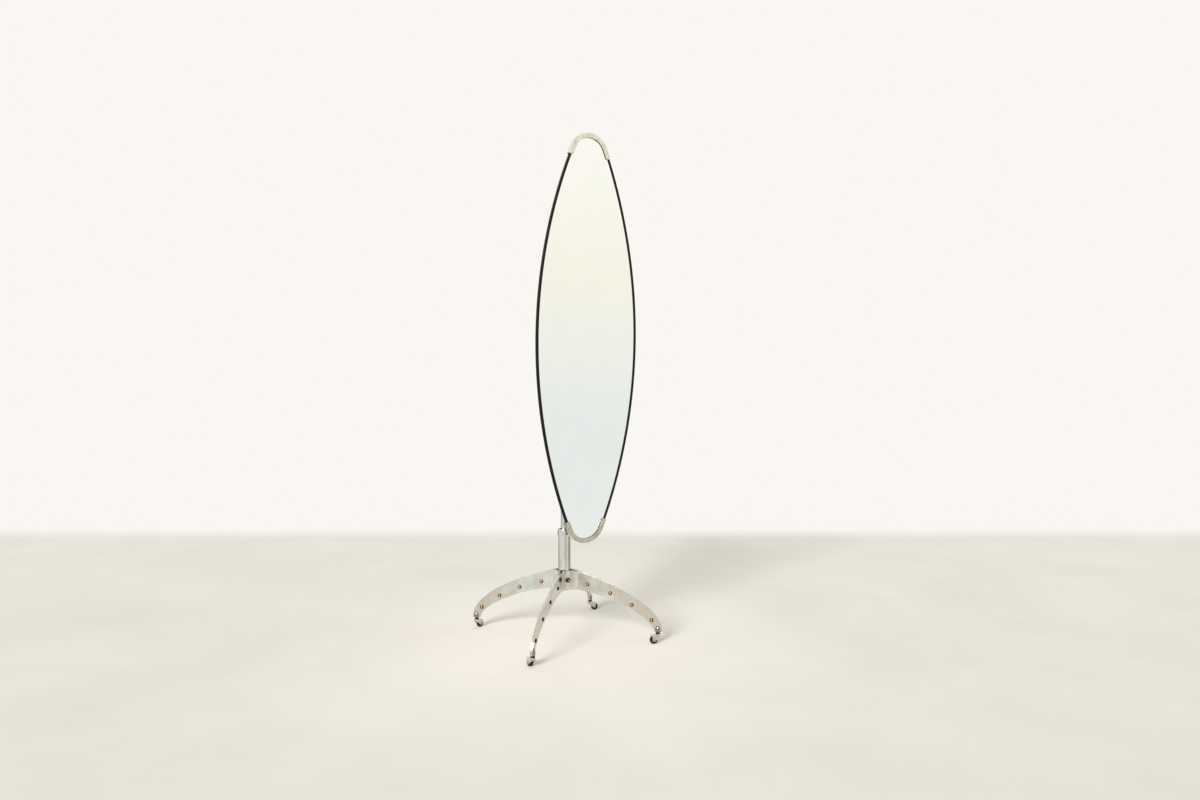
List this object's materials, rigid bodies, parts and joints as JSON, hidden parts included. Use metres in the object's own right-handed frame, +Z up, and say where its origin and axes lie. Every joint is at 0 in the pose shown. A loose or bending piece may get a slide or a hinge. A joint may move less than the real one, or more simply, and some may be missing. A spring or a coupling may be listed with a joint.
{
  "type": "rolling floor mirror",
  "caption": "Full-length lens-shaped mirror with rubber edging and metal end caps, tilting on a telescopic mast over an arched four-legged base on swivel casters.",
  "frame": {"origin": "on the floor, on the axis of the mast and column", "axes": "+Z up along the mast; the mirror faces -Y, between the two front legs; +X to the right for someone who looks into it"},
  "size_m": [0.5846, 0.5742, 1.9515],
  "materials": {
    "plate": "brushed, clear-coated flat bar",
    "copper": "copper-coloured, satin",
    "tube": "satin, fine turned grain",
    "chrome": "polished",
    "black_plastic": "moulded, fine grain",
    "cast": "cast, silver-painted",
    "steel": "zinc-plated",
    "mirror": "silvered float glass",
    "rubber": "smooth, half gloss",
    "board": "dark sealed board",
    "cap": "polished",
    "tread": "dark moulded tread",
    "hub": "moulded hub"
  },
  "bodies": {
    "base": {"leg_plate_front": "plate", "leg_plate_right": "plate", "leg_plate_back": "plate", "leg_plate_left": "plate", "hub_bolt_front": "copper", "hub_bolt_right": "copper", "hub_bolt_back": "copper", "hub_bolt_left": "copper", "leg_rivet_front_left_1": "copper", "leg_rivet_front_left_2": "copper", "leg_rivet_front_left_3": "copper", "leg_rivet_front_left_4": "copper", "leg_rivet_front_right_1": "copper", "leg_rivet_front_right_2": "copper", "leg_rivet_front_right_3": "copper", "leg_rivet_front_right_4": "copper", "leg_rivet_back_right_1": "copper", "leg_rivet_back_right_2": "copper", "leg_rivet_back_right_3": "copper", "leg_rivet_back_right_4": "copper", "leg_rivet_back_left_1": "copper", "leg_rivet_back_left_2": "copper", "leg_rivet_back_left_3": "copper", "leg_rivet_back_left_4": "copper", "column_plug": "black_plastic", "column_tube": "tube", "column_collar": "chrome", "column_bush": "black_plastic", "lock_screw": "copper", "caster_socket_front_left": "chrome", "caster_socket_front_right": "chrome", "caster_socket_back_right": "chrome", "caster_socket_back_left": "chrome"},
    "mast": {"mast_rod": "tube"},
    "head": {"head_clamp": "cast", "clamp_bolt": "steel", "hinge_bolt": "steel"},
    "knob": {"tilt_knob": "black_plastic"},
    "mirror": {"mirror_bracket": "cast", "back_panel": "board", "mirror_glass": "mirror", "rubber_edge": "rubber", "top_cap": "cap", "bottom_cap": "cap"},
    "swivel_front_left": {"caster_fork_front_left": "chrome", "caster_axle_front_left": "steel"},
    "wheel_front_left": {"wheel_tread_front_left": "tread", "wheel_hub_front_left": "hub"},
    "swivel_front_right": {"caster_fork_front_right": "chrome", "caster_axle_front_right": "steel"},
    "wheel_front_right": {"wheel_tread_front_right": "tread", "wheel_hub_front_right": "hub"},
    "swivel_back_right": {"caster_fork_back_right": "chrome", "caster_axle_back_right": "steel"},
    "wheel_back_right": {"wheel_tread_back_right": "tread", "wheel_hub_back_right": "hub"},
    "swivel_back_left": {"caster_fork_back_left": "chrome", "caster_axle_back_left": "steel"},
    "wheel_back_left": {"wheel_tread_back_left": "tread", "wheel_hub_back_left": "hub"}
  },
  "joints": [
    {"name": "mast_height", "type": "slide", "parent": "base", "child": "mast", "axis": [0, 0, 1], "range_m": [-0.08, 0.04]},
    {"name": "head_swivel", "type": "hinge", "parent": "mast", "child": "head", "pos_m": [0, 0, 1.178], "axis": [0, 0, 1], "continuous": true},
    {"name": "tilt_knob_turn", "type": "hinge", "parent": "head", "child": "knob", "pos_m": [0.02, -0.14, 1.178], "axis": [1, 0, 0], "range_deg": [0, 270]},
    {"name": "mirror_tilt", "type": "hinge", "parent": "head", "child": "mirror", "pos_m": [0, -0.14, 1.178], "axis": [1, 0, 0], "range_deg": [-20, 8]},
    {"name": "caster_swivel_front_left", "type": "hinge", "parent": "base", "child": "swivel_front_left", "pos_m": [-0.26941, -0.26941, 0.04], "axis": [0, 0, 1], "continuous": true},
    {"name": "wheel_roll_front_left", "type": "hinge", "parent": "swivel_front_left", "child": "wheel_front_left", "pos_m": [-0.27106, -0.25048, 0.015], "axis": [-0.9962, -0.0872, 0], "continuous": true},
    {"name": "caster_swivel_front_right", "type": "hinge", "parent": "base", "child": "swivel_front_right", "pos_m": [0.26941, -0.26941, 0.04], "axis": [0, 0, 1], "continuous": true},
    {"name": "wheel_roll_front_right", "type": "hinge", "parent": "swivel_front_right", "child": "wheel_front_right", "pos_m": [0.25059, -0.26676, 0.015], "axis": [-0.1392, -0.9903, 0], "continuous": true},
    {"name": "caster_swivel_back_right", "type": "hinge", "parent": "base", "child": "swivel_back_right", "pos_m": [0.26941, 0.26941, 0.04], "axis": [0, 0, 1], "continuous": true},
    {"name": "wheel_roll_back_right", "type": "hinge", "parent": "swivel_back_right", "child": "wheel_back_right", "pos_m": [0.28586, 0.25991, 0.015], "axis": [0.5, 0.866, 0], "continuous": true},
    {"name": "caster_swivel_back_left", "type": "hinge", "parent": "base", "child": "swivel_back_left", "pos_m": [-0.26941, 0.26941, 0.04], "axis": [0, 0, 1], "continuous": true},
    {"name": "wheel_roll_back_left", "type": "hinge", "parent": "swivel_back_left", "child": "wheel_back_left", "pos_m": [-0.25263, 0.27833, 0.015], "axis": [-0.4695, 0.8829, 0], "continuous": true}
  ]
}
